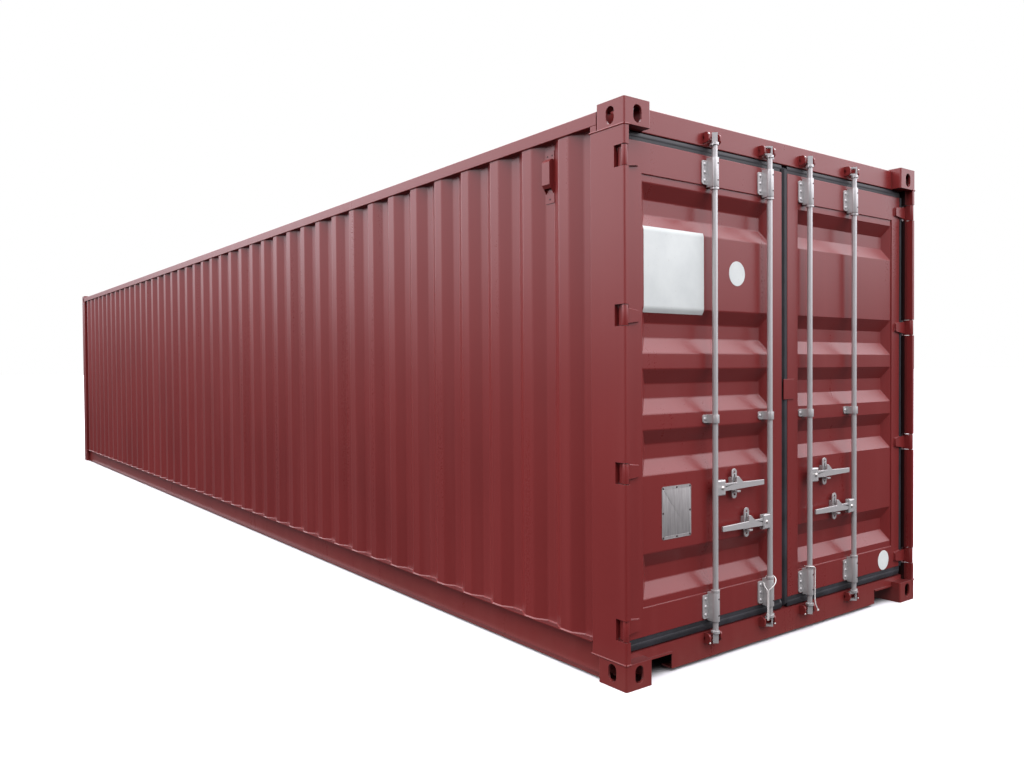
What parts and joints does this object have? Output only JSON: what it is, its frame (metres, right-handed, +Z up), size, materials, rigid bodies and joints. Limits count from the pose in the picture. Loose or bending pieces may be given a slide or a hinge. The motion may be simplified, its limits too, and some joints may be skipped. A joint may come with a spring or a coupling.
{
  "type": "shipping container",
  "caption": "Long steel shipping container with corrugated walls, plywood floor, corner castings and hinged double end doors locked by vertical cam bars with lift-up handles.",
  "frame": {"origin": "on the ground at the middle of the container's footprint", "axes": "+X along the length towards the doors, +Z up, -Y the left side as seen facing the doors"},
  "size_m": [12.192, 2.438, 2.591],
  "materials": {
    "maroon_paint": "weathered satin",
    "galvanised_steel": "dull zinc",
    "door_rubber": "matte",
    "floor_plywood": "worn, unpolished",
    "underside_coat": "matte wax coat",
    "pin_steel": "plain"
  },
  "bodies": {
    "container_box": {"bottom_corner_castings": "maroon_paint", "top_corner_castings": "maroon_paint", "front_corner_posts": "maroon_paint", "rear_corner_posts": "maroon_paint", "bottom_side_rails": "maroon_paint", "top_side_rails": "maroon_paint", "left_side_wall": "maroon_paint", "right_side_wall": "maroon_paint", "roof_panel": "maroon_paint", "front_wall": "maroon_paint", "front_header": "maroon_paint", "front_sill": "maroon_paint", "plywood_floor": "floor_plywood", "cross_members": "underside_coat", "gooseneck_tunnel": "underside_coat", "door_header": "maroon_paint", "door_sill": "maroon_paint", "cam_keepers": "maroon_paint", "hinge_pins": "pin_steel", "vent_covers": "maroon_paint"},
    "left_door": {"left_door_frame": "maroon_paint", "left_door_panel": "maroon_paint", "left_door_gasket": "door_rubber", "left_door_hinges": "maroon_paint", "left_door_bar_guides": "galvanised_steel", "left_door_handle_retainers": "galvanised_steel"},
    "right_door": {"right_door_frame": "maroon_paint", "right_door_panel": "maroon_paint", "right_door_gasket": "door_rubber", "right_door_hinges": "maroon_paint", "right_door_bar_guides": "galvanised_steel", "right_door_handle_retainers": "galvanised_steel", "right_door_meeting_cover": "maroon_paint"},
    "bar_1": {"lock_bar_1": "galvanised_steel"},
    "handle_1": {"lock_handle_1": "galvanised_steel"},
    "bar_2": {"lock_bar_2": "galvanised_steel"},
    "handle_2": {"lock_handle_2": "galvanised_steel"},
    "bar_3": {"lock_bar_3": "galvanised_steel"},
    "handle_3": {"lock_handle_3": "galvanised_steel"},
    "bar_4": {"lock_bar_4": "galvanised_steel"},
    "handle_4": {"lock_handle_4": "galvanised_steel"}
  },
  "joints": [
    {"name": "left_door_hinge", "type": "hinge", "parent": "container_box", "child": "left_door", "pos_m": [6.08, -1.203, 1.3], "axis": [0, 0, -1], "range_deg": [0, 265]},
    {"name": "right_door_hinge", "type": "hinge", "parent": "container_box", "child": "right_door", "pos_m": [6.08, 1.203, 1.3], "axis": [0, 0, 1], "range_deg": [0, 265]},
    {"name": "bar_1_turn", "type": "hinge", "parent": "left_door", "child": "bar_1", "pos_m": [6.073, -0.598, 1.3], "axis": [0, 0, 1], "range_deg": [-90, 0]},
    {"name": "bar_2_turn", "type": "hinge", "parent": "left_door", "child": "bar_2", "pos_m": [6.073, -0.173, 1.3], "axis": [0, 0, -1], "range_deg": [-90, 0]},
    {"name": "bar_3_turn", "type": "hinge", "parent": "right_door", "child": "bar_3", "pos_m": [6.073, 0.173, 1.3], "axis": [0, 0, 1], "range_deg": [-90, 0]},
    {"name": "bar_4_turn", "type": "hinge", "parent": "right_door", "child": "bar_4", "pos_m": [6.073, 0.598, 1.3], "axis": [0, 0, -1], "range_deg": [-90, 0]},
    {"name": "handle_1_lift", "type": "hinge", "parent": "bar_1", "child": "handle_1", "pos_m": [6.073, -0.556, 0.83594], "axis": [-1, 0, 0], "range_deg": [-30, 0]},
    {"name": "handle_2_lift", "type": "hinge", "parent": "bar_2", "child": "handle_2", "pos_m": [6.073, -0.215, 0.63302], "axis": [1, 0, 0], "range_deg": [-30, 0]},
    {"name": "handle_3_lift", "type": "hinge", "parent": "bar_3", "child": "handle_3", "pos_m": [6.073, 0.215, 0.83594], "axis": [-1, 0, 0], "range_deg": [-30, 0]},
    {"name": "handle_4_lift", "type": "hinge", "parent": "bar_4", "child": "handle_4", "pos_m": [6.073, 0.556, 0.63302], "axis": [1, 0, 0], "range_deg": [-30, 0]}
  ]
}
